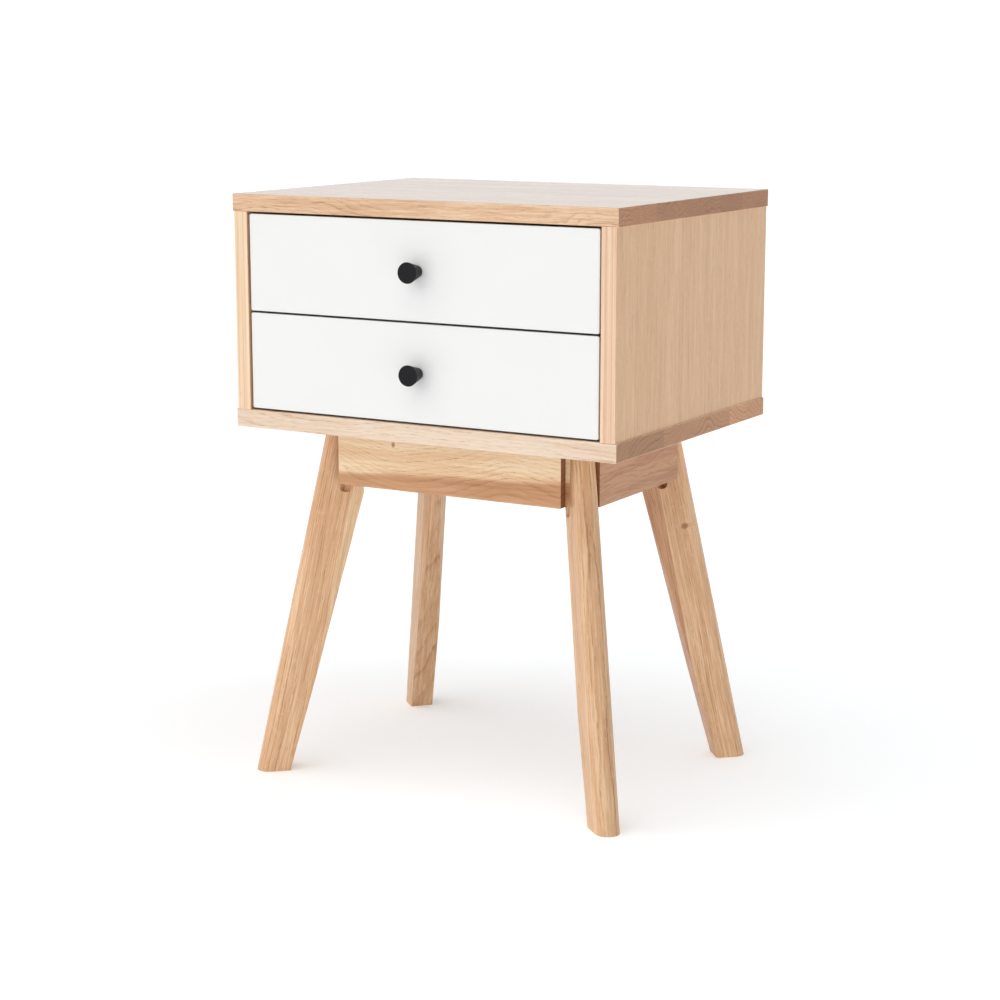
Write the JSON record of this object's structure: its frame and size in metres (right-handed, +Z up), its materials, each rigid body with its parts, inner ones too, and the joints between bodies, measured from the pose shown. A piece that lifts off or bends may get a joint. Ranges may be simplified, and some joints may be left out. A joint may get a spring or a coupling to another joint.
{
  "type": "bedside cabinet",
  "caption": "Oak bedside cabinet with lacquered drawers that slide out on telescopic runners, standing on a base frame of aprons and splayed legs.",
  "frame": {"origin": "on the floor, under the middle of the whole object's box, knobs included", "axes": "+Z up, the drawers open towards -Y, +X to the right of someone facing the drawers"},
  "size_m": [0.45, 0.3684, 0.625],
  "materials": {
    "oak_panel": "oiled solid oak in glued staves, satin",
    "oak_veneer": "oiled oak veneer with upright grain, satin",
    "oak_apron": "oiled solid oak, satin",
    "oak_leg": "oiled solid oak, satin",
    "white_lacquer": "satin white lacquer on fibreboard",
    "black_knob": "black-stained turned wood, matt",
    "drawer_birch": "clear-lacquered birch, satin",
    "beech_dowel": "raw fluted beech, matt",
    "runner_steel": "bright zinc-plated sheet, satin",
    "bracket_steel": "zinc-plated sheet, satin",
    "zinc_hardware": "bright zinc plate, satin"
  },
  "bodies": {
    "case": {"top_panel": "oak_panel", "bottom_panel": "oak_panel", "side_panel_left": "oak_veneer", "side_panel_right": "oak_veneer", "back_panel": "oak_veneer", "case_dowels": "beech_dowel", "cam_bolts": "zinc_hardware", "cam_locks": "zinc_hardware", "back_screws": "zinc_hardware", "apron_front": "oak_apron", "apron_back": "oak_apron", "apron_left": "oak_apron", "apron_right": "oak_apron", "leg_front_left": "oak_leg", "leg_front_right": "oak_leg", "leg_back_left": "oak_leg", "leg_back_right": "oak_leg", "corner_brackets": "bracket_steel", "bracket_screws": "zinc_hardware", "hanger_bolts": "zinc_hardware", "hanger_washers": "zinc_hardware", "hanger_nuts": "zinc_hardware", "base_screws": "zinc_hardware", "runner_case_screws": "zinc_hardware", "upper_rail_case_left": "runner_steel", "upper_rail_case_right": "runner_steel", "lower_rail_case_left": "runner_steel", "lower_rail_case_right": "runner_steel"},
    "upper_drawer": {"upper_front": "white_lacquer", "upper_side_left": "drawer_birch", "upper_side_right": "drawer_birch", "upper_back": "drawer_birch", "upper_bottom": "drawer_birch", "upper_dowels": "beech_dowel", "upper_box_screws": "zinc_hardware", "upper_knob": "black_knob", "upper_knob_screw": "zinc_hardware", "upper_runner_screws": "zinc_hardware", "upper_rail_drawer_left": "runner_steel", "upper_rail_drawer_right": "runner_steel"},
    "lower_drawer": {"lower_front": "white_lacquer", "lower_side_left": "drawer_birch", "lower_side_right": "drawer_birch", "lower_back": "drawer_birch", "lower_bottom": "drawer_birch", "lower_dowels": "beech_dowel", "lower_box_screws": "zinc_hardware", "lower_knob": "black_knob", "lower_knob_screw": "zinc_hardware", "lower_runner_screws": "zinc_hardware", "lower_rail_drawer_left": "runner_steel", "lower_rail_drawer_right": "runner_steel"},
    "upper_runner_middle": {"upper_rail_middle_left": "runner_steel", "upper_rail_middle_right": "runner_steel"},
    "lower_runner_middle": {"lower_rail_middle_left": "runner_steel", "lower_rail_middle_right": "runner_steel"}
  },
  "joints": [
    {"name": "upper_drawer_slide", "type": "slide", "parent": "case", "child": "upper_drawer", "axis": [0, -1, 0], "range_m": [0, 0.25]},
    {"name": "lower_drawer_slide", "type": "slide", "parent": "case", "child": "lower_drawer", "axis": [0, -1, 0], "range_m": [0, 0.25]},
    {"name": "upper_middle_slide", "type": "slide", "parent": "case", "child": "upper_runner_middle", "axis": [0, -1, 0], "range_m": [0, 0.125]},
    {"name": "lower_middle_slide", "type": "slide", "parent": "case", "child": "lower_runner_middle", "axis": [0, -1, 0], "range_m": [0, 0.125]}
  ],
  "couplings": [
    {"joint": "upper_middle_slide", "follows": "upper_drawer_slide", "ratio": 0.5},
    {"joint": "lower_middle_slide", "follows": "lower_drawer_slide", "ratio": 0.5}
  ]
}
